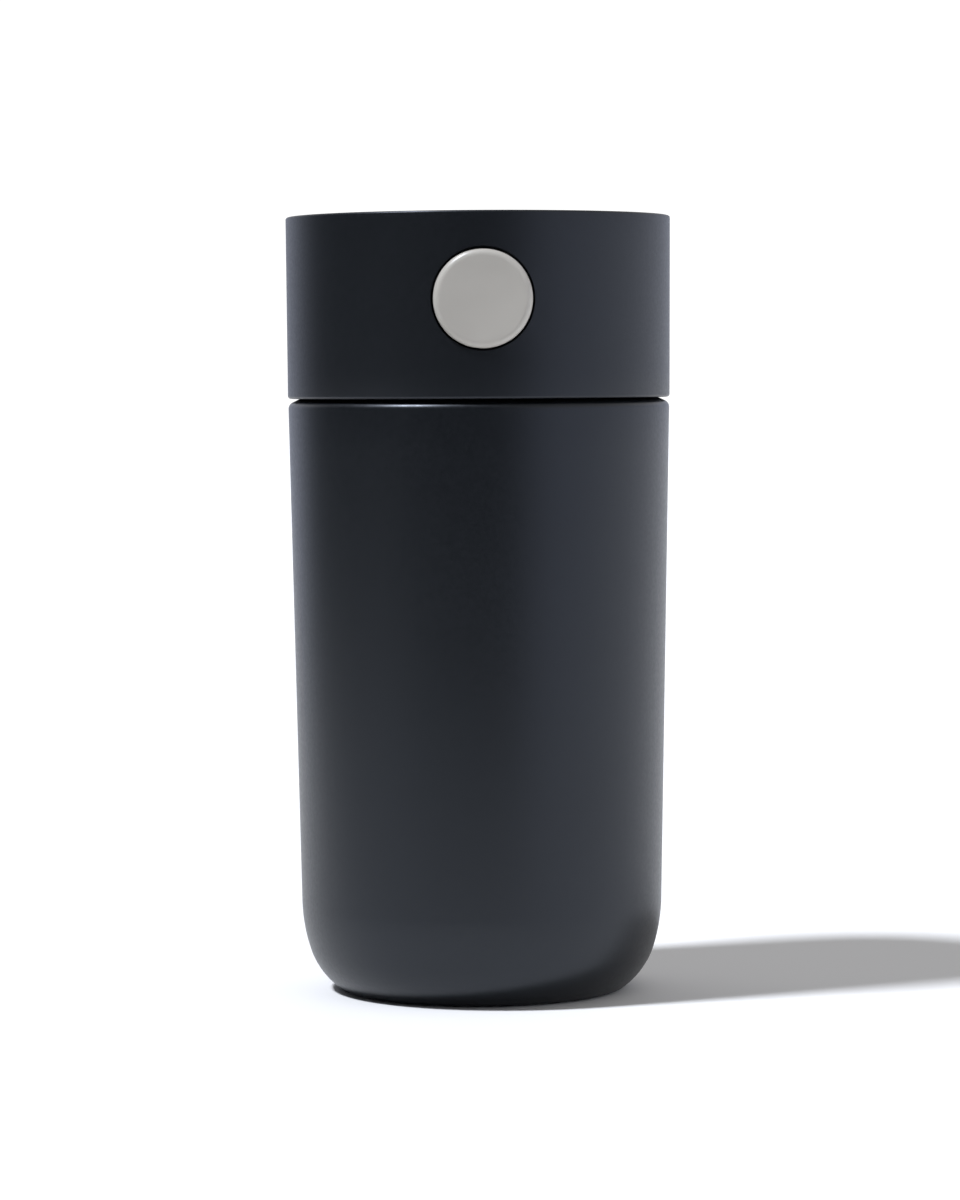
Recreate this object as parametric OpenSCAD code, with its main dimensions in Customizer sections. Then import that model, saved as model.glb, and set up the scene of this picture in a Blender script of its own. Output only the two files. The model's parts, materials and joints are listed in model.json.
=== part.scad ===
// Insulated travel tumbler with a screw lid and a push button on the lid's front.
// Millimetres. The foot stands on z = 0, the axis is Z, and the button faces -Y.

/* [Body] */
// Height of the body's shoulder above the table
shoulder_z = 123.4; // [118.4:0.5:139.9]
// Radius of the body at its shoulder
body_r = 39.8; // [39.6:0.1:40.4]
// Taper of the body wall, in degrees
taper = 1.12; // [0.9:0.01:1.2]
// Radius of the lower part of the bottom corner
corner_r = 16; // [13:0.5:18]
// Thickness of the steel outer wall
shell_t = 0.8; // [0.6:0.1:1]
// Thickness of the steel liner
liner_t = 0.7; // [0.5:0.1:0.8]
// How far the foot pad stands below the steel foot
pad_proud = 0.4; // [0.3:0.1:0.8]

/* [Lid] */
// Height of the lid shell
lid_h = 37.7; // [37.7:0.1:40]
// Radius of the lid at its top edge
lid_r = 40.1; // [40:0.1:41]
// Height of the shadow gap between body and lid
lid_gap = 0.6; // [0.5:0.1:1.5]
// Radius of the lid's outer top edge
edge_r = 0.5; // [0.4:0.1:1.2]

/* [Button] */
// Radius of the push button
button_r = 10; // [9.6:0.1:10]
// Clearance between the button and the hole in the lid shell
button_gap = 0.5; // [0.3:0.1:0.6]
// How far the button stands proud of the lid
button_proud = 0.6; // [0.3:0.1:1.2]
// Depth of the hollow in the button's face
button_dish = 0.2; // [0:0.05:0.3]

/* [Thread] */
// Rise of the two-start lid thread in one turn
lead = 12; // [11:0.5:13]

/* [Shown] */
// One piece by name, or all of them

/* [Hidden] */
$fn = 96;
eps = 0.01;
cut = 1;

// Levels that follow the body's shoulder and the gap above it.
skirt_z = shoulder_z + lid_gap;
lid_top = skirt_z + lid_h;
lip_z = skirt_z + 4.8;
flange_z = lip_z + 0.6;
flange_top = flange_z + 2;
plug_z = lip_z - 20.1;
plug_floor = plug_z + 1.8;
ledge_z = lip_z - 15.9;
button_z = skirt_z + 20.1;
well_z = button_z + 13.2;
well_under = well_z - 1.5;
funnel_top = well_under - 0.3;

// Outer wall of the body.
foot_z = pad_proud;
round_r = 1.5;
round_z = shoulder_z - round_r;
shoulder_a = 65;
bend_r = 35;
bend_a = 18;
bend_z = 19.5;
low_z = bend_z - bend_r * sin(taper);
low_r = body_r - (round_z - low_z) * tan(taper);
bend_x = low_r - bend_r * cos(taper);
corner_x = bend_x + (bend_r - corner_r) * cos(bend_a);
corner_z = bend_z - (bend_r - corner_r) * sin(bend_a);
foot_hole_r = 25;

// Neck, ledge and cup.
neck_r = 35;
neck_out_r = 36.6;
lip_r = (neck_out_r - neck_r) / 2;
throat_r = 31.8;
cup_top_r = 34.4;
cup_top_z = plug_z - 6.4;
cup_low_r = 33;
cup_low_z = 24;
cup_corner = 14;
cup_floor = 9;
plate_z = foot_z + 2;

// Screw plug of the lid.
plug_r = 33.2;
groove_r = 29.6;
groove_z = plug_z + 2;
groove_top = groove_z + 3;
seat_r = 14;
funnel_r = 24.4;
funnel_out_r = 25.8;
flange_r = 38;
skirt_in_r = 38.2;
lid_draft = 0.2;
hem_r = 0.6;
well_r = 37.6;
well_hole_r = 24.6;
seal_low_r = 26;
seal_high_r = 28;
seal_sink = 0.6;

// Threads: two starts, and the lid's ridges run just under the neck's.
neck_thread_z = lip_z - 8.5;
thread_step = 2.3;
neck_sweep = 180;
plug_sweep_low = -80;
plug_sweep_high = 120;

// Mechanism.
stroke = 4;
hub_r = 14;
hub_out_r = 15.4;
hub_floor = button_z - 6.8;
hub_top = button_z + 9.2;
hub_under = hub_floor - 5.5;
tunnel_r = 10.3;
tunnel_out_r = 11.3;
throat_bore_r = 8.7;
throat_out_r = 9.8;
tunnel_end = 26;
button_face = lid_r + button_proud;
button_back = 34;
button_round = 1.4;
stem_r = 3;
pin_r = 1.5;
pin_z = button_z + 2;
cheek_x = 3.6;
slider_half = 6;
boss_x = 11.6;
boss_top = hub_top - 1.5;
pad_t = 0.9;
cover_top = hub_top + pad_t + 2;
disc_top = plug_z - 0.5;
disc_z = disc_top - 4.5;
cap_r = 30.5;
cap_top = lid_top - 1;
cap_dish = 0.6;

// Points of an arc about (x, z).
function arc(x, z, r, a0, a1, n) = [
  for (i = [0:n]) [x + r * cos(a0 + (a1 - a0) * i / n), z + r * sin(a0 + (a1 - a0) * i / n)]
];

// One ring of a swept ridge: radius and height pairs turned to an angle and lifted.
function ring_at(pairs, a, z) = [for (p = pairs) [p[0] * cos(a), p[0] * sin(a), p[1] + z]];

// How tall a thread ridge is at step i of n: it fades out over its last steps.
function fade(i, n) = max(0.12, min(1, i / 5, (n - i) / 5));

// Section of a thread ridge, from its root to its crest.
function ridge(root, crest, f, root_half, crest_half) = [
  [root, -root_half],
  [root + (crest - root) * f, -root_half + (root_half - crest_half) * f],
  [root + (crest - root) * f, root_half - (root_half - crest_half) * f],
  [root, root_half]
];

// A closed skin over rings that have the same number of points.
module skin(rings) {
  m = len(rings[0]);
  n = len(rings);
  polyhedron(
    points = [for (r = rings) for (p = r) p],
    faces = concat(
      [for (i = [0:n - 2]) for (j = [0:m - 1]) [i * m + j, i * m + (j + 1) % m, (i + 1) * m + j]],
      [for (i = [0:n - 2]) for (j = [0:m - 1])
        [i * m + (j + 1) % m, (i + 1) * m + (j + 1) % m, (i + 1) * m + j]],
      [for (j = [1:m - 2]) [0, j + 1, j]],
      [for (j = [1:m - 2]) [(n - 1) * m, (n - 1) * m + j, (n - 1) * m + j + 1]]
    )
  );
}

// A thread ridge outside a wall: it runs from angle a0 to a1 on the helix that is at z when a = 0.
module outer_ridge(root, crest, z, a0, a1) {
  n = round((a1 - a0) / 6);
  skin([
    for (i = [0:n]) ring_at(ridge(root, crest, fade(i, n), 1.3, 0.7), a0 + (a1 - a0) * i / n,
      z + lead * (a0 + (a1 - a0) * i / n) / 360)
  ]);
}

// The same on the inside of a wall, where the crest is nearer the axis.
module inner_ridge(root, crest, z, a0, a1) {
  n = round((a1 - a0) / 6);
  skin([
    for (i = [0:n]) [
      for (k = [3:-1:0]) ring_at(ridge(root, crest, fade(i, n), 1.3, 0.75),
        a0 + (a1 - a0) * i / n, z + lead * (a0 + (a1 - a0) * i / n) / 360)[k]
    ]
  ]);
}

// A solid cylinder along +Y from y0 to y1 at height z.
module y_rod(r, y0, y1, z) {
  translate([0, y0, z]) rotate([-90, 0, 0]) cylinder(r = r, h = y1 - y0);
}

// A box given by its two corners.
module box(low, high) {
  translate(low) cube(high - low);
}

// ---------- body ----------

// Half section of the body's outside, moved in by t. The bottom corner bends slowly at first, then
// faster. The shoulder is round at its edge, then rises as a cone to the neck, and so it closes the
// gap under the lid's skirt.
module body_area(t) {
  neck = neck_out_r - t;
  edge_x = body_r - round_r + (round_r - t) * cos(shoulder_a);
  edge_z = round_z + (round_r - t) * sin(shoulder_a);
  cone_z = edge_z + (edge_x - neck) / tan(shoulder_a);
  polygon(concat(
    [[0, foot_z + t]],
    arc(corner_x, corner_z, corner_r - t, -asin((corner_z - foot_z - t) / (corner_r - t)), -bend_a, 24),
    arc(bend_x, bend_z, bend_r - t, -bend_a + 1, -taper, 18),
    arc(body_r - round_r, round_z, round_r - t, 0, shoulder_a, 8),
    [[neck, cone_z], [0, cone_z]]
  ));
}

module outer_shell() {
  color([0.13, 0.14, 0.15])
    rotate_extrude() {
      difference() {
        body_area(0);
        body_area(shell_t);
        translate([-eps, round_z]) square([neck_out_r - shell_t + eps, lip_z - round_z]);
        translate([-eps, 0]) square([foot_hole_r + eps, 2 * cut + foot_z]);
      }
      translate([foot_hole_r, foot_z]) square([shell_t, 3]);
      translate([neck_out_r - shell_t, round_z]) square([shell_t, lip_z - lip_r - round_z]);
    }
}

// Half section of the cup's inside, moved out by t.
module cup_area(t) {
  polygon(concat(
    [[0, cup_floor - t]],
    arc(cup_low_r - cup_corner, cup_floor + cup_corner, cup_corner + t, -90, 0, 24),
    [
      [cup_low_r + t, cup_low_z],
      [cup_top_r + t, cup_top_z],
      [cup_top_r + t, cup_top_z + 1],
      [throat_r + t, plug_z - 1 + t / 2],
      [throat_r + t, ledge_z - (neck_r - throat_r) - t / 2],
      [neck_r + t, ledge_z - t / 2],
      [neck_r + t, lip_z - lip_r],
      [0, lip_z - lip_r]
    ]
  ));
}

module inner_liner() {
  color([0.72, 0.72, 0.73]) {
    rotate_extrude() {
      difference() {
        cup_area(liner_t);
        cup_area(0);
      }
      polygon(arc(neck_r + lip_r, lip_z - lip_r, lip_r, 0, 180, 12));
    }
    for (k = [0, 180])
      rotate([0, 0, k]) inner_ridge(neck_r + 0.3, neck_r - 1.1, neck_thread_z, 0, neck_sweep);
  }
}

module base_plate() {
  color([0.13, 0.14, 0.15])
    rotate_extrude() polygon([
      [0, plate_z + 0.8],
      [0, plate_z + 1.4],
      [4.4, plate_z + 1.4],
      [5.2, plate_z + shell_t],
      [foot_hole_r - 0.05, plate_z + shell_t],
      [foot_hole_r - 0.05, plate_z],
      [5, plate_z],
      [4.2, plate_z + 0.8]
    ]);
}

module vacuum_seal() {
  color([0.6, 0.58, 0.55])
    translate([0, 0, plate_z + 0.1]) cylinder(r1 = 2.2, r2 = 3.2, h = 0.7);
}

module getter() {
  color([0.55, 0.5, 0.45])
    translate([12, 0, cup_floor - liner_t - 1.8]) difference() {
      cylinder(r = 4, h = 1.8);
      translate([0, 0, -cut]) cylinder(r = 3, h = cut + 1.2);
    }
}

module liner_foil() {
  t0 = liner_t + 0.05;
  t1 = liner_t + 0.3;
  color([0.8, 0.5, 0.35])
    rotate_extrude() polygon([
      [cup_low_r + t0, cup_low_z],
      [cup_top_r + t0, cup_top_z],
      [cup_top_r + t1, cup_top_z],
      [cup_low_r + t1, cup_low_z]
    ]);
}

module foot_pad() {
  pad_r = foot_hole_r - 0.3;
  color([0.1, 0.1, 0.1])
    rotate_extrude() difference() {
      polygon([
        [0, 0.6],
        [8, 0.6],
        [8.6, 0],
        [pad_r - 0.6, 0],
        [pad_r, 0.6],
        [pad_r, plate_z],
        [0, plate_z]
      ]);
      translate([-eps, plate_z - 1]) square([5 + eps, 2]);
      for (r = [12, 16, 20])
        translate([r, -eps]) square([1, 0.4 + eps]);
    }
}

// ---------- lid ----------

module lid_gasket() {
  low = groove_z + 0.15;
  top = groove_top - 0.15;
  seal_r = plug_r + 0.4;
  // The sealing face lies just off the ledge, which is a 45 degree cone.
  lift = ledge_z - neck_r + 0.07;
  color([0.85, 0.85, 0.84])
    rotate_extrude() polygon([
      [groove_r + 0.1, low],
      [low - lift, low],
      [seal_r, seal_r + lift],
      [seal_r, top - 0.9],
      [seal_r - 0.5, top],
      [groove_r + 0.1, top]
    ]);
}

module lid_shell_body() {
  rotate_extrude() polygon(concat(
    [[skirt_in_r, skirt_z]],
    arc(lid_r - lid_draft - hem_r, skirt_z + hem_r, hem_r, -90, 0, 5),
    arc(lid_r - edge_r, lid_top - edge_r, edge_r, 0, 90, 8),
    arc(well_r + 0.6, lid_top - 0.6, 0.6, 90, 180, 6),
    arc(well_r - 1.2, well_z + 1.2, 1.2, 0, -90, 6),
    [
      [well_hole_r + 0.3, well_z],
      [well_hole_r, well_z - 0.3],
      [well_hole_r, well_under],
      [seal_low_r - 0.1, well_under],
      [seal_low_r - 0.1, well_under + seal_sink],
      [seal_high_r + 0.1, well_under + seal_sink],
      [seal_high_r + 0.1, well_under],
      [skirt_in_r, well_under]
    ]
  ));
  // Inside ribs that stand on the core's flange.
  for (a = [-20, 40, 90, 140, 200])
    rotate([0, 0, a]) intersection() {
      box([36.4, -1, flange_top], [39, 1, well_under + 0.5]);
      cylinder(r = skirt_in_r + 0.5, h = lid_top);
    }
}

module lid_shell() {
  color([0.15, 0.16, 0.17])
    difference() {
      lid_shell_body();
      y_rod(button_r + button_gap, -lid_r - cut, -30, button_z);
    }
}

// Half sections of the core: the plug with its flange and funnel, and the dry hub.
module plug_area() {
  polygon([
    [seat_r, plug_z],
    [30.6, plug_z],
    [31, plug_z + 0.4],
    [31, groove_z],
    [groove_r, groove_z],
    [groove_r, groove_top],
    [plug_r, groove_top],
    [plug_r, flange_z],
    [flange_r, flange_z],
    [flange_r, flange_top],
    [31.4, flange_top],
    [31.4, plug_z + 10.2],
    [27.8, plug_z + 6.6],
    [27.8, plug_floor],
    [funnel_out_r, plug_floor],
    [funnel_out_r, funnel_top - 1.5],
    [seal_high_r + 0.6, funnel_top - 1.5],
    [seal_high_r + 0.6, funnel_top],
    [funnel_r, funnel_top],
    [funnel_r, plug_floor],
    [seat_r, plug_floor]
  ]);
}

module hub_area() {
  polygon([
    [stem_r + 0.1, hub_under],
    [12, hub_under],
    [hub_out_r, hub_under + 3.4],
    [hub_out_r, hub_top],
    [hub_r, hub_top],
    [hub_r, hub_floor],
    [7, hub_floor],
    [7, hub_floor - 1.5],
    [4.9, hub_floor - 1.5],
    [4.9, hub_floor - 3.4],
    [stem_r + 0.1, hub_floor - 3.4]
  ]);
}

module lid_core() {
  color([0.25, 0.26, 0.27])
    difference() {
      union() {
        difference() {
          union() {
            rotate_extrude() plug_area();
            rotate_extrude() hub_area();
            intersection() {
              y_rod(tunnel_out_r, -flange_r - cut, -tunnel_end + 1.4, button_z);
              cylinder(r = flange_r, h = lid_top);
            }
            y_rod(throat_out_r, -tunnel_end, -hub_r + 2, button_z);
            // Ribs that carry the hub across the flow passage.
            for (a = [30, 90, 150])
              rotate([0, 0, a])
                box([hub_out_r - 0.5, -0.8, hub_under + 4], [funnel_r + 0.5, 0.8, hub_top - 2]);
          }
          translate([0, 0, hub_floor]) cylinder(r = hub_r, h = lid_top);
          translate([0, 0, hub_top]) cylinder(r = hub_out_r + 0.1, h = lid_top);
          y_rod(tunnel_r, -flange_r - cut, -tunnel_end, button_z);
          y_rod(throat_bore_r, -tunnel_end - cut, -hub_r + 3, button_z);
        }
        // Bosses for the cover screws.
        for (s = [-1, 1])
          intersection() {
            translate([s * boss_x, 0, hub_floor - cut]) cylinder(r = 2.6, h = boss_top - hub_floor + cut);
            cylinder(r = hub_out_r - 0.5, h = lid_top);
          }
        for (k = [0, 180])
          rotate([0, 0, k])
            outer_ridge(plug_r - 0.4, plug_r + 1.5, neck_thread_z - thread_step,
              plug_sweep_low, plug_sweep_high);
      }
      for (s = [-1, 1])
        translate([s * boss_x, 0, boss_top - 8]) cylinder(r = 1.3, h = 9);
    }
}

module well_seal() {
  color([0.8, 0.8, 0.78])
    rotate_extrude() translate([seal_low_r, funnel_top])
      square([seal_high_r - seal_low_r, well_under + seal_sink - funnel_top]);
}

module hub_cover() {
  color([0.3, 0.31, 0.32])
    difference() {
      union() {
        translate([0, 0, hub_top + pad_t]) cylinder(r = hub_out_r, h = cover_top - hub_top - pad_t);
        translate([0, 0, boss_top + 0.1]) cylinder(r = hub_r - 0.2, h = hub_top - boss_top + 1);
      }
      translate([0, 0, boss_top - cut]) cylinder(r = 8.6, h = cut + 1.6);
      for (s = [-1, 1]) {
        translate([s * boss_x, 0, boss_top - cut]) cylinder(r = 1.4, h = 10);
        translate([s * boss_x, 0, cover_top - 1.4]) cylinder(r = 2.5, h = 3);
      }
    }
}

module cover_gasket() {
  color([0.8, 0.8, 0.78])
    translate([0, 0, hub_top]) difference() {
      cylinder(r = hub_out_r, h = pad_t);
      translate([0, 0, -cut]) cylinder(r = hub_r - 0.1, h = pad_t + 2 * cut);
    }
}

module cover_screws() {
  color([0.7, 0.7, 0.7])
    for (s = [-1, 1])
      translate([s * boss_x, 0, 0]) difference() {
        union() {
          translate([0, 0, cover_top - 1.4]) cylinder(r = 2.3, h = 1.1);
          translate([0, 0, boss_top - 6]) cylinder(r = 1.25, h = cover_top - boss_top + 5);
        }
        for (a = [0, 90])
          translate([0, 0, cover_top - 0.6]) rotate([0, 0, a]) box([-1.4, -0.25, 0], [1.4, 0.25, cut]);
      }
}

module top_cap() {
  color([0.15, 0.16, 0.17])
    rotate_extrude() polygon(concat(
      [[0, cover_top]],
      [[hub_out_r + 0.1, cover_top], [hub_out_r + 0.1, cover_top - 1.6]],
      [[hub_out_r + 1.2, cover_top - 1.6], [hub_out_r + 1.5, cover_top - 1.3]],
      [[hub_out_r + 1.5, well_z + 1.4], [hub_out_r + 2.1, well_z + 2]],
      [[cap_r - 2, well_z + 2]],
      arc(cap_r - 0.7, cap_top - 0.7, 0.7, -20, 90, 6),
      // The top is a shallow dish, so that drops run to its middle and not over the edge.
      [for (i = [8:-1:0]) [(cap_r - 2) * i / 8, cap_top - cap_dish + cap_dish * i * i / 64]]
    ));
}

module stem_seal() {
  color([0.1, 0.1, 0.1])
    translate([0, 0, hub_floor - 2.5])
      rotate_extrude() translate([stem_r + 0.95, 0]) circle(r = 0.88);
}

module seal_retainer() {
  color([0.9, 0.9, 0.88])
    translate([0, 0, hub_floor - 1.5]) difference() {
      cylinder(r = 6.95, h = 1.5);
      translate([0, 0, -cut]) cylinder(r = stem_r + 0.2, h = 1.5 + 2 * cut);
    }
}

// ---------- button ----------

// Drawn with its face up: z = 0 is the lid's axis, and the result is turned to face -Y.
module to_button_axis() {
  translate([0, 0, button_z]) rotate([90, 0, 0]) children();
}

module push_button() {
  seal_in_r = tunnel_r - 1.55;
  // Radius of the hollow in the face, from its depth.
  rim = button_r - button_round;
  dish_r = button_dish > 0 ? (rim * rim + button_dish * button_dish) / (2 * button_dish) : 1;
  dish_a = button_dish > 0 ? asin(rim / dish_r) : 0;
  color([0.68, 0.67, 0.65])
    difference() {
      to_button_axis() rotate_extrude() polygon(concat(
        [[0, button_back], [button_r, button_back]],
        [[button_r, button_back + 0.6], [seal_in_r, button_back + 0.6]],
        [[seal_in_r, button_back + 2.1], [button_r, button_back + 2.1]],
        arc(rim, button_face - button_round, button_round, 0, 90, 12),
        button_dish > 0
          ? [for (i = [1:8]) [
              dish_r * sin(dish_a * (1 - i / 8)),
              button_face - button_dish + dish_r - dish_r * cos(dish_a * (1 - i / 8))
            ]]
          : [[0, button_face]]
      ));
      // Socket for the slider's neck and hole for the screw.
      box([-4.6, -button_back - 2.5, button_z - 4.6], [4.6, -button_back + cut, button_z + 4.6]);
      y_rod(1.45, -button_back - 4.6, -button_back, button_z);
    }
}

// The slot a cam pin runs in: 45 degrees, with a way in from the top.
module cam_slot() {
  slot_r = pin_r + 0.1;
  reach = (stroke + 0.4) * sqrt(2);
  translate([-slider_half - cut, 0, pin_z]) {
    rotate([0, 90, 0]) cylinder(r = slot_r, h = 2 * slider_half + 2 * cut);
    translate([0, -stroke - 0.4, -stroke - 0.4])
      rotate([0, 90, 0]) cylinder(r = slot_r, h = 2 * slider_half + 2 * cut);
    rotate([45, 0, 0])
      translate([0, -reach, -slot_r]) cube([2 * slider_half + 2 * cut, reach, 2 * slot_r]);
    translate([0, -slot_r, 0]) cube([2 * slider_half + 2 * cut, 2 * slot_r, 8]);
  }
}

module cam_slider() {
  front = -13;
  rear = 8;
  bridge = -9;
  color([0.9, 0.9, 0.88])
    difference() {
      union() {
        box([-slider_half, front, button_z - slider_half], [slider_half, rear, button_z + slider_half]);
        box([-4.5, -button_back - 2.4, button_z - 4.5], [4.5, front + eps, button_z + 4.5]);
      }
      box([-cheek_x, bridge, button_z - 8], [cheek_x, rear + cut, button_z + 8]);
      cam_slot();
      y_rod(1.45, -button_back - 3, bridge, button_z);
      y_rod(2.8, bridge - 3, bridge + cut, button_z);
    }
}

module button_seal() {
  color([0.1, 0.1, 0.1])
    to_button_axis() rotate_extrude() translate([tunnel_r - 0.77, button_back + 1.35]) circle(r = 0.7);
}

module button_screw() {
  color([0.7, 0.7, 0.7])
    difference() {
      union() {
        y_rod(1.4, -button_back - 4.4, -11.5, button_z);
        y_rod(2.6, -11.9, -10, button_z);
      }
      for (a = [0, 90])
        translate([0, -10.9, button_z]) rotate([0, a, 0]) box([-1.7, 0, -0.3], [1.7, cut + 1, 0.3]);
    }
}

module button_spring() {
  wire = 0.45;
  coil_r = 9.55;
  turns = 3.5;
  n = turns * 36;
  low = tunnel_end + wire + 0.05;
  high = button_back - wire - 0.05;
  color([0.75, 0.75, 0.76])
    to_button_axis() skin([
      for (i = [0:n]) ring_at([for (k = [0:7]) [coil_r + wire * cos(45 * k), wire * sin(45 * k)]],
        10 * i, low + (high - low) * min(1, max(0, (i - 18) / (n - 36))))
    ]);
}

// ---------- valve ----------

module valve_stem() {
  color([0.75, 0.75, 0.76])
    difference() {
      union() {
        translate([0, 0, disc_top - 1.4]) cylinder(r = stem_r, h = pin_z + 2.4 - disc_top + 1.4);
        translate([0, 0, pin_z + 2.4]) cylinder(r1 = stem_r, r2 = stem_r - 0.5, h = 0.5);
      }
      translate([-5, 0, pin_z]) rotate([0, 90, 0]) cylinder(r = pin_r + 0.05, h = 10);
      translate([0, 0, disc_top - 2.4]) cylinder(r = 1.3, h = 8);
    }
}

module cam_pin() {
  half = 5.5;
  color([0.7, 0.7, 0.7])
    translate([-half, 0, pin_z]) rotate([0, 90, 0]) {
      translate([0, 0, 0.3]) cylinder(r = pin_r, h = 2 * half - 0.6);
      cylinder(r1 = pin_r - 0.3, r2 = pin_r, h = 0.3);
      translate([0, 0, 2 * half - 0.3]) cylinder(r1 = pin_r, r2 = pin_r - 0.3, h = 0.3);
    }
}

module valve_disc() {
  disc_r = 18;
  color([0.3, 0.31, 0.32])
    difference() {
      union() {
        rotate_extrude() polygon([
          [0, disc_z],
          [13, disc_z],
          [disc_r, disc_z + 1.8],
          [disc_r, disc_top],
          [17.5, disc_top],
          [17.5, disc_top - 1.3],
          [14.2, disc_top - 1.3],
          [14.2, disc_top],
          [7, disc_top],
          [5.5, disc_top + 1.5],
          [5.5, disc_top + 5.6],
          [0, disc_top + 5.6]
        ]);
        // Wings that keep the disc in line with its seat.
        for (a = [90, 210, 330])
          rotate([0, 0, a]) box([5, -0.7, disc_top - 0.5], [seat_r - 0.4, 0.7, disc_top + 4.6]);
      }
      translate([0, 0, disc_top - 1.5]) cylinder(r = stem_r + 0.05, h = 10);
      translate([0, 0, disc_z - cut]) cylinder(r = 1.5, h = 6);
      translate([0, 0, disc_z - cut]) cylinder(r = 3.2, h = cut + 1.8);
    }
}

module valve_seal() {
  color([0.85, 0.85, 0.84])
    rotate_extrude() polygon([
      [14.3, disc_top - 1.25],
      [17.4, disc_top - 1.25],
      [17.4, disc_top - 0.1],
      [16.6, plug_z - 0.05],
      [15.1, plug_z - 0.05],
      [14.3, disc_top - 0.1]
    ]);
}

module valve_screw() {
  color([0.7, 0.7, 0.7])
    difference() {
      union() {
        translate([0, 0, disc_z + 0.2]) cylinder(r = 2.8, h = 1.55);
        translate([0, 0, disc_z + 1.2]) cylinder(r = 1.25, h = 7.6);
      }
      for (a = [0, 90])
        translate([0, 0, disc_z - cut]) rotate([0, 0, a]) box([-1.8, -0.3, 0], [1.8, 0.3, cut + 1]);
    }
}

outer_shell();
inner_liner();
base_plate();
vacuum_seal();
getter();
liner_foil();
foot_pad();
lid_gasket();
lid_shell();
lid_core();
well_seal();
hub_cover();
cover_gasket();
cover_screws();
top_cap();
stem_seal();
seal_retainer();
push_button();
cam_slider();
button_seal();
button_screw();
button_spring();
valve_stem();
cam_pin();
valve_disc();
valve_seal();
valve_screw();
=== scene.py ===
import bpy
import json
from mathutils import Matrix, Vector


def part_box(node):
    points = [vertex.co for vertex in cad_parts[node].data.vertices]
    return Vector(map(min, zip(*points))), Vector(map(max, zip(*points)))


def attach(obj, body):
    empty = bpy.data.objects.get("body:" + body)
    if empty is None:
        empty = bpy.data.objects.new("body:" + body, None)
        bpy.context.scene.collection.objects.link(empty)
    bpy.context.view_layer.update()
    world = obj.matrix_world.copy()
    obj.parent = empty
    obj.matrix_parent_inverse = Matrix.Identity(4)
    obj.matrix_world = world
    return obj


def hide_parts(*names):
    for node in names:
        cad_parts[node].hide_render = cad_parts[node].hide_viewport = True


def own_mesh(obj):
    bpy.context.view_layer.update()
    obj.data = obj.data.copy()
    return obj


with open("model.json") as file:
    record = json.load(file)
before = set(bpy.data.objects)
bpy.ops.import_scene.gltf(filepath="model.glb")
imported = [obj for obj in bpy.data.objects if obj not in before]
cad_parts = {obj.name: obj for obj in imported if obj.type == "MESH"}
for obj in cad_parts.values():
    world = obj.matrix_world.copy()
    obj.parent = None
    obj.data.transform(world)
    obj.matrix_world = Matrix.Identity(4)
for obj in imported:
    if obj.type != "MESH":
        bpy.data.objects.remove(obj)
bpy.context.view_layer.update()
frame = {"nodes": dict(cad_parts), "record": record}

import json
import math

import bpy
from mathutils import Matrix, Vector

NODES = frame["nodes"]


# ---------- shading of the CAD nodes ----------

WELD_DISTANCE = 2e-6
SHARP_ANGLE = math.radians(26)


def smoothing_group():
    """Joins the CAD faces' edges and shades them smooth, except across sharp corners."""
    tree = bpy.data.node_groups.new("smooth_by_angle", "GeometryNodeTree")
    tree.interface.new_socket("Geometry", in_out="INPUT", socket_type="NodeSocketGeometry")
    tree.interface.new_socket("Geometry", in_out="OUTPUT", socket_type="NodeSocketGeometry")
    node, link = tree.nodes.new, tree.links.new
    came, gone = node("NodeGroupInput"), node("NodeGroupOutput")
    weld = node("GeometryNodeMergeByDistance")
    weld.inputs["Distance"].default_value = WELD_DISTANCE
    drop = node("GeometryNodeRemoveAttribute")
    drop.inputs["Name"].default_value = "custom_normal"
    faces = node("GeometryNodeSetShadeSmooth")
    faces.domain = "FACE"
    edges = node("GeometryNodeSetShadeSmooth")
    edges.domain = "EDGE"
    edges.inputs["Shade Smooth"].default_value = False
    angle = node("GeometryNodeInputMeshEdgeAngle")
    sharp = node("FunctionNodeCompare")
    sharp.data_type = "FLOAT"
    sharp.operation = "GREATER_THAN"
    sharp.inputs[1].default_value = SHARP_ANGLE
    link(came.outputs[0], drop.inputs["Geometry"])
    link(drop.outputs["Geometry"], weld.inputs["Geometry"])
    link(weld.outputs["Geometry"], faces.inputs["Geometry"])
    link(faces.outputs["Geometry"], edges.inputs["Geometry"])
    link(angle.outputs["Unsigned Angle"], sharp.inputs[0])
    link(sharp.outputs["Result"], edges.inputs["Selection"])
    link(edges.outputs["Geometry"], gone.inputs[0])
    return tree


SMOOTH = smoothing_group()
for node_object in NODES.values():
    node_object.modifiers.new("smooth", "NODES").node_group = SMOOTH


# ---------- materials ----------

# Most of a noise texture's values lie between these two.
NOISE_LOW, NOISE_HIGH = 0.3, 0.7


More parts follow.
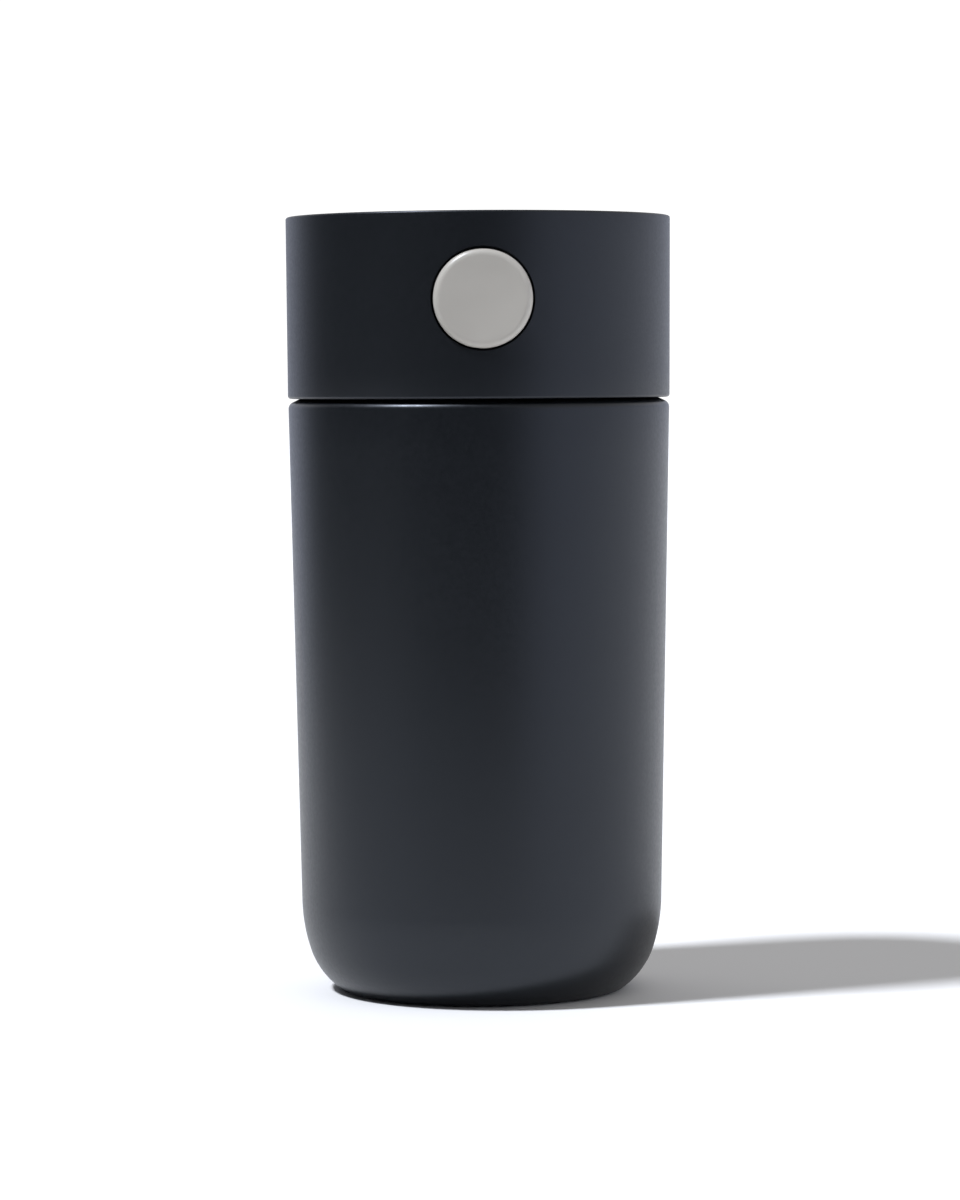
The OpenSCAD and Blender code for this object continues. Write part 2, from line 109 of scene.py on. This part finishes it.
class Surface:
    """A node material with a Principled shader, and short ways to add what varies over it."""

    def __init__(self, name, color, rough, metal=0.0, specular=0.5):
        self.mat = bpy.data.materials.new(name)
        self.mat.use_nodes = True
        self.tree = self.mat.node_tree
        self.shader = next(n for n in self.tree.nodes if n.type == "BSDF_PRINCIPLED")
        put = self.shader.inputs
        put["Base Color"].default_value = (*color, 1)
        put["Roughness"].default_value = rough
        put["Metallic"].default_value = metal
        put["Specular IOR Level"].default_value = specular
        self.coords = self.new("ShaderNodeTexCoord").outputs["Object"]
        self.height = None

    def new(self, kind, **values):
        made = self.tree.nodes.new(kind)
        for key, value in values.items():
            setattr(made, key, value)
        return made

    def link(self, a, b):
        self.tree.links.new(a, b)

    def stretched(self, scale):
        """The object coordinates, in metres, times a scale for each axis."""
        mapping = self.new("ShaderNodeMapping")
        mapping.inputs["Scale"].default_value = scale
        self.link(self.coords, mapping.inputs["Vector"])
        return mapping.outputs["Vector"]

    def noise(self, scale, detail, stretch=(1, 1, 1)):
        """A soft noise with that many waves in a metre."""
        made = self.new("ShaderNodeTexNoise")
        made.inputs["Scale"].default_value = scale
        made.inputs["Detail"].default_value = detail
        made.inputs["Roughness"].default_value = 0.5
        self.link(self.stretched(stretch), made.inputs["Vector"])
        return made.outputs["Fac"]

    def cells(self, scale):
        """Small rounded pits, that many in a metre."""
        made = self.new("ShaderNodeTexVoronoi")
        made.inputs["Scale"].default_value = scale
        self.link(self.coords, made.inputs["Vector"])
        return made.outputs["Distance"]

    def span(self, noise, a=0.0, b=1.0):
        """A noise's usual range mapped to a..b."""
        made = self.new("ShaderNodeMapRange")
        limits = (("From Min", NOISE_LOW), ("From Max", NOISE_HIGH), ("To Min", a), ("To Max", b))
        for key, number in limits:
            made.inputs[key].default_value = number
        self.link(noise, made.inputs["Value"])
        return made.outputs["Result"]

    def tint(self, noise, a, b):
        """Base colour from colour a, where the noise is low, to colour b, where it is high."""
        made = self.new("ShaderNodeMix", data_type="RGBA")
        made.inputs["A"].default_value = (*a, 1)
        made.inputs["B"].default_value = (*b, 1)
        self.link(self.span(noise), made.inputs["Factor"])
        self.link(made.outputs["Result"], self.shader.inputs["Base Color"])

    def roughness(self, noise, low, high):
        """Roughness between low and high, as the noise goes."""
        self.link(self.span(noise, low, high), self.shader.inputs["Roughness"])

    def bump(self, value, metres, strength):
        """A further bump of that height in metres, on top of any before it."""
        made = self.new("ShaderNodeBump")
        made.inputs["Distance"].default_value = metres
        made.inputs["Strength"].default_value = strength
        self.link(value, made.inputs["Height"])
        if self.height is not None:
            self.link(self.height, made.inputs["Normal"])
        self.height = made.outputs["Normal"]
        self.link(self.height, self.shader.inputs["Normal"])


def shade(color, factor):
    """That colour, darker or lighter."""
    return tuple(c * factor for c in color)


COAT_REFLECTION = (0.84, 0.895, 1.0, 1)


def coated(name, color, rough, grain=2600):
    """A fine matte coat: tiny even grain, faint long-wave waviness, faint cloudiness."""
    s = Surface(name, color, rough)
    s.shader.inputs["Specular Tint"].default_value = COAT_REFLECTION
    s.tint(s.noise(38, 2), shade(color, 0.93), shade(color, 1.07))
    s.roughness(s.noise(grain * 0.5, 2), rough - 0.035, rough + 0.035)
    s.bump(s.noise(grain, 2), 6e-6, 0.35)
    s.bump(s.noise(420, 1), 5e-6, 0.25)
    return s.mat


def moulded(name, color, rough, grain=3800, specular=0.5):
    """Moulded plastic: fine spark-eroded grain and a slight variation of gloss."""
    s = Surface(name, color, rough, specular=specular)
    s.tint(s.noise(60, 2), shade(color, 0.95), shade(color, 1.05))
    s.roughness(s.noise(240, 3), rough - 0.05, rough + 0.05)
    s.bump(s.cells(grain), 5e-6, 0.3)
    return s.mat


def silicone(name, color, rough=0.5):
    """Silicone rubber: a little light goes in, and the skin is slightly uneven."""
    s = Surface(name, color, rough, specular=0.45)
    s.shader.inputs["Subsurface Weight"].default_value = 0.12
    s.shader.inputs["Subsurface Radius"].default_value = (0.002, 0.0018, 0.0015)
    s.tint(s.noise(90, 2), shade(color, 0.94), shade(color, 1.04))
    s.roughness(s.noise(300, 2), rough - 0.06, rough + 0.06)
    s.bump(s.noise(2200, 2), 8e-6, 0.3)
    return s.mat


def steel(name, color, rough, around=True):
    """Metal with a mottled polish and fine lines, round the Z axis or along it."""
    s = Surface(name, color, rough, metal=1.0)
    lines = s.noise(1.0, 3, (30, 30, 5500) if around else (5500, 5500, 30))
    s.tint(s.noise(45, 3), shade(color, 0.92), shade(color, 1.05))
    s.roughness(lines, rough - 0.06, rough + 0.07)
    s.bump(lines, 2e-6, 0.3)
    return s.mat


CHARCOAL = (0.0056, 0.0068, 0.0083)
MATERIALS = {
    "coated_steel": coated("charcoal_powder_coat", CHARCOAL, 0.36),
    "soft_plastic": coated("charcoal_soft_touch", CHARCOAL, 0.40, 3200),
    "bare_steel": steel("liner_steel", (0.62, 0.62, 0.63), 0.27),
    "solder": moulded("solder_bead", (0.42, 0.40, 0.37), 0.4),
    "getter_metal": moulded("sintered_getter", (0.25, 0.24, 0.22), 0.6, 2500),
    "foil": steel("copper_foil", (0.86, 0.42, 0.25), 0.22),
    "black_silicone": silicone("black_silicone", (0.016, 0.016, 0.017)),
    "clear_silicone": silicone("milky_silicone", (0.62, 0.62, 0.60), 0.42),
    "core_plastic": moulded("dark_polypropylene", (0.035, 0.036, 0.039), 0.42),
    "slider_plastic": moulded("natural_acetal", (0.72, 0.71, 0.67), 0.32),
    "button_plastic": moulded("button_grey", (0.561, 0.533, 0.478), 0.36, 4200, 0.6),
    "screw_steel": steel("fastener_steel", (0.58, 0.58, 0.59), 0.24),
    "spring_steel": steel("spring_wire", (0.55, 0.55, 0.57), 0.22, around=False),
}
slots = {entry["node"]: entry["material_slot"] for entry in frame["record"]["subparts"]}
for name, node_object in NODES.items():
    node_object.data.materials.clear()
    node_object.data.materials.append(MATERIALS[slots[name]])


# ---------- spring ----------

def coil_spring(name, low, high, wire, turns, sides=16, steps=40):
    """A wire coil along Y that fills the box from low to high; its first and last half turn lie flat."""
    center_x, center_z = (low[0] + high[0]) / 2, (low[2] + high[2]) / 2
    coil = (high[0] - low[0]) / 2 - wire
    count = round(turns * steps)
    points = []
    for i in range(count + 1):
        angle = 2 * math.pi * i / steps
        share = min(1.0, max(0.0, (i - steps / 2) / (count - steps)))
        y = high[1] - wire + share * (low[1] - high[1] + 2 * wire)
        for k in range(sides):
            around = 2 * math.pi * k / sides
            reach = coil + wire * math.cos(around)
            points.append((center_x + reach * math.cos(angle), y + wire * math.sin(around),
                           center_z + reach * math.sin(angle)))
    faces = []
    for i in range(count):
        here, there = i * sides, (i + 1) * sides
        for k in range(sides):
            after = (k + 1) % sides
            faces.append((here + k, here + after, there + after, there + k))
    faces.append(tuple(reversed(range(sides))))
    faces.append(tuple(range(count * sides, (count + 1) * sides)))
    mesh = bpy.data.meshes.new(name)
    mesh.from_pydata(points, [], faces)
    made = bpy.data.objects.new(name, mesh)
    bpy.context.collection.objects.link(made)
    made.modifiers.new("smooth", "NODES").node_group = SMOOTH
    return made


SPRING_WIRE_RADIUS = 0.00045
SPRING_TURNS = 3.5

spring_low, spring_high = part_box("button_spring")
spring = coil_spring("coil_spring", spring_low, spring_high, SPRING_WIRE_RADIUS, SPRING_TURNS)
spring.data.materials.append(MATERIALS[slots["button_spring"]])
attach(spring, "lid")
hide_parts("button_spring")
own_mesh(spring)


# ---------- floor ----------

def floor_mesh(name, low, high, cells):
    """A large flat grid from corner low to corner high."""
    dx, dy = (high[0] - low[0]) / cells, (high[1] - low[1]) / cells
    points = [(low[0] + i * dx, low[1] + j * dy, 0.0)
              for j in range(cells + 1) for i in range(cells + 1)]
    row = cells + 1
    faces = [(j * row + i, j * row + i + 1, (j + 1) * row + i + 1, (j + 1) * row + i)
             for j in range(cells) for i in range(cells)]
    mesh = bpy.data.meshes.new(name)
    mesh.from_pydata(points, [], faces)
    made = bpy.data.objects.new(name, mesh)
    bpy.context.collection.objects.link(made)
    return made


FLOOR_LOW, FLOOR_HIGH = (-0.55, -0.34), (4.0, 9.0)

floor = floor_mesh("floor", FLOOR_LOW, FLOOR_HIGH, 8)
paper = Surface("white_paper", (0.93, 0.925, 0.91), 0.7, specular=0.2)
paper.tint(paper.noise(3, 2), (0.925, 0.92, 0.905), (0.935, 0.93, 0.915))
floor.data.materials.append(paper.mat)


# ---------- light ----------

def sun(name, direction, strength, angle, color):
    """A distant soft light that comes from that direction."""
    data = bpy.data.lights.new(name, "SUN")
    data.energy = strength
    data.angle = math.radians(angle)
    data.color = color
    made = bpy.data.objects.new(name, data)
    made.rotation_euler = Vector(direction).normalized().to_track_quat("Z", "Y").to_euler()
    bpy.context.collection.objects.link(made)


KEY_FROM = (-0.472, -0.19, 0.861)
KEY_STRENGTH = 3.4
KEY_ANGLE = 7.0
KEY_COLOR = (0.94, 0.98, 1.07)

sun("key", KEY_FROM, KEY_STRENGTH, KEY_ANGLE, KEY_COLOR)

SEEN_STRENGTH = 1.1
HORIZON_COLOR = (0.88, 0.94, 1.14, 1)
ZENITH_COLOR = (0.985, 0.97, 0.955, 1)
# Each ramp below goes from its first to its second place, and from its first to its second level there.
SIDE_WEIGHT = 1.2  # how much a direction's X counts beside its Y in telling front left from back right
SIDE_RAMP = (-0.72, 0.14, 0.06, 0.89)
HEIGHT_RAMP = (0.25, 0.95, 1.0, 0.52)
TONE_RAMP = (0.05, 0.6, 0.0, 1.0)


def sky():
    """White for the camera; as a light it is bright behind and right, darker in front, left and above."""
    world = bpy.data.worlds.new("studio")
    bpy.context.scene.world = world
    world.use_nodes = True
    tree = world.node_tree
    tree.nodes.clear()
    link = tree.links.new

    def new(kind, **values):
        made = tree.nodes.new(kind)
        for key, value in values.items():
            setattr(made, key, value)
        return made

    def ramp(value, low, high, a, b):
        made = new("ShaderNodeMapRange")
        made.interpolation_type = "SMOOTHSTEP"
        for key, number in (("From Min", low), ("From Max", high), ("To Min", a), ("To Max", b)):
            made.inputs[key].default_value = number
        link(value, made.inputs["Value"])
        return made.outputs["Result"]

    out = new("ShaderNodeOutputWorld")
    seen = new("ShaderNodeBackground")
    lit = new("ShaderNodeBackground")
    mix = new("ShaderNodeMixShader")
    path = new("ShaderNodeLightPath")
    coords = new("ShaderNodeTexCoord")
    axes = new("ShaderNodeSeparateXYZ")
    lean = new("ShaderNodeMath")
    lean.operation = "MULTIPLY_ADD"
    lean.inputs[1].default_value = SIDE_WEIGHT
    seen.inputs["Color"].default_value = (1, 1, 1, 1)
    seen.inputs["Strength"].default_value = SEEN_STRENGTH
    tone = new("ShaderNodeMix", data_type="RGBA")
    tone.inputs["A"].default_value = HORIZON_COLOR
    tone.inputs["B"].default_value = ZENITH_COLOR
    both = new("ShaderNodeMath")
    both.operation = "MULTIPLY"
    link(coords.outputs["Generated"], axes.inputs["Vector"])
    link(axes.outputs["X"], lean.inputs[0])
    link(axes.outputs["Y"], lean.inputs[2])
    link(ramp(lean.outputs["Value"], *SIDE_RAMP), both.inputs[0])
    link(ramp(axes.outputs["Z"], *HEIGHT_RAMP), both.inputs[1])
    link(ramp(axes.outputs["Z"], *TONE_RAMP), tone.inputs["Factor"])
    link(tone.outputs["Result"], lit.inputs["Color"])
    link(both.outputs["Value"], lit.inputs["Strength"])
    link(path.outputs["Is Camera Ray"], mix.inputs["Fac"])
    link(lit.outputs["Background"], mix.inputs[1])
    link(seen.outputs["Background"], mix.inputs[2])
    link(mix.outputs["Shader"], out.inputs["Surface"])


sky()
bpy.context.scene.view_settings.view_transform = "Standard"


# ---------- camera ----------

CAMERA_AT = (-0.0217, -0.8797, 0.1300)
CAMERA_AIM = (0.0, 0.0, 0.0816)
CAMERA_ROLL = math.radians(-0.35)
CAMERA_LENS = 126.0

camera_data = bpy.data.cameras.new("camera")
camera_data.lens = CAMERA_LENS
camera_data.sensor_width = 36.0
camera_data.clip_start = 0.01
camera_data.clip_end = 60.0
camera = bpy.data.objects.new("camera", camera_data)
camera.location = CAMERA_AT
aim = Vector(CAMERA_AIM) - camera.location
turn = aim.to_track_quat("-Z", "Y").to_matrix().to_4x4()
roll = Matrix.Rotation(CAMERA_ROLL, 4, "Z")
camera.matrix_world = Matrix.Translation(camera.location) @ turn @ roll
bpy.context.collection.objects.link(camera)
bpy.context.scene.camera = camera
